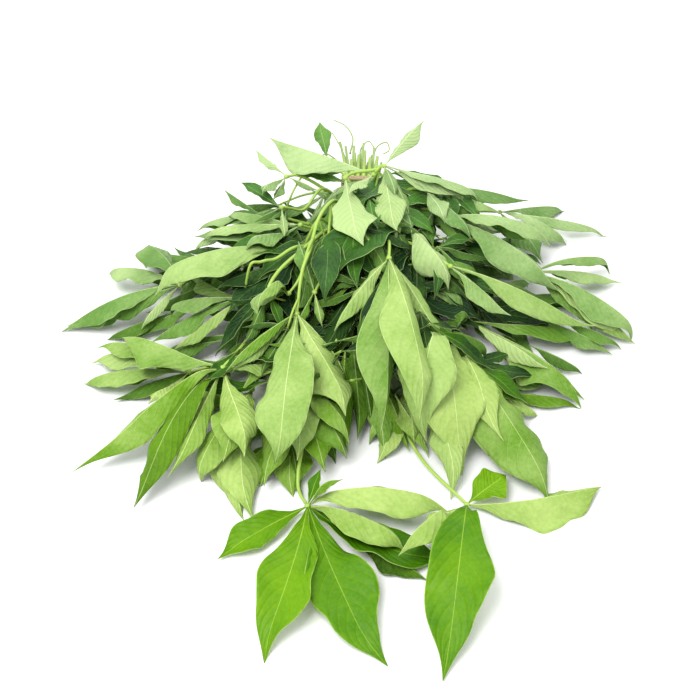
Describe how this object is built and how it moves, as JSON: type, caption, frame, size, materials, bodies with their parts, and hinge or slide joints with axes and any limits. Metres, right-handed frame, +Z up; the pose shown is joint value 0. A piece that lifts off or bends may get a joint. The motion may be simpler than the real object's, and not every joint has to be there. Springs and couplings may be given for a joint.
{
  "type": "bunch of baobab leaves",
  "caption": "Lying bunch of fresh baobab leaves on their green stems, fanned out from a twine tie at the stem ends, with two palmate leaves trailing in front.",
  "frame": {"origin": "on the table, under the middle of the bunch's bounding box", "axes": "+Z up from the table, +Y from the leaf tips in front to the cut stem ends at the back, +X to the right as seen from the leaf tips"},
  "size_m": [0.4953, 0.5641, 0.1084],
  "materials": {
    "leaf_underside": "matte, pale grey-green leaf underside",
    "leaf_upper_side": "satin, saturated green leaf upper side",
    "twine": "matte straw-coloured plant-fibre twine"
  },
  "bodies": {
    "root": {"leafy_stem_01": "leaf_underside", "leafy_stem_02": "leaf_underside", "leafy_stem_03": "leaf_upper_side", "leafy_stem_04": "leaf_upper_side", "leafy_stem_05": "leaf_underside", "leafy_stem_06": "leaf_underside", "leafy_stem_07": "leaf_underside", "leafy_stem_08": "leaf_underside", "leafy_stem_09": "leaf_underside", "leafy_stem_10": "leaf_underside", "leafy_stem_11": "leaf_underside", "leafy_stem_12": "leaf_underside", "leafy_stem_13": "leaf_underside", "leafy_stem_14": "leaf_underside", "leafy_stem_15": "leaf_underside", "leafy_stem_16": "leaf_underside", "leafy_stem_17": "leaf_underside", "leafy_stem_18": "leaf_underside", "leafy_stem_19": "leaf_underside", "leafy_stem_20": "leaf_underside", "leafy_stem_21": "leaf_underside", "leafy_stem_22": "leaf_underside", "leafy_stem_23": "leaf_underside", "leafy_stem_24": "leaf_underside", "leafy_stem_25": "leaf_underside", "leafy_stem_26": "leaf_underside", "leafy_stem_27": "leaf_underside", "leafy_stem_28": "leaf_underside", "tie": "twine"}
  },
  "joints": []
}
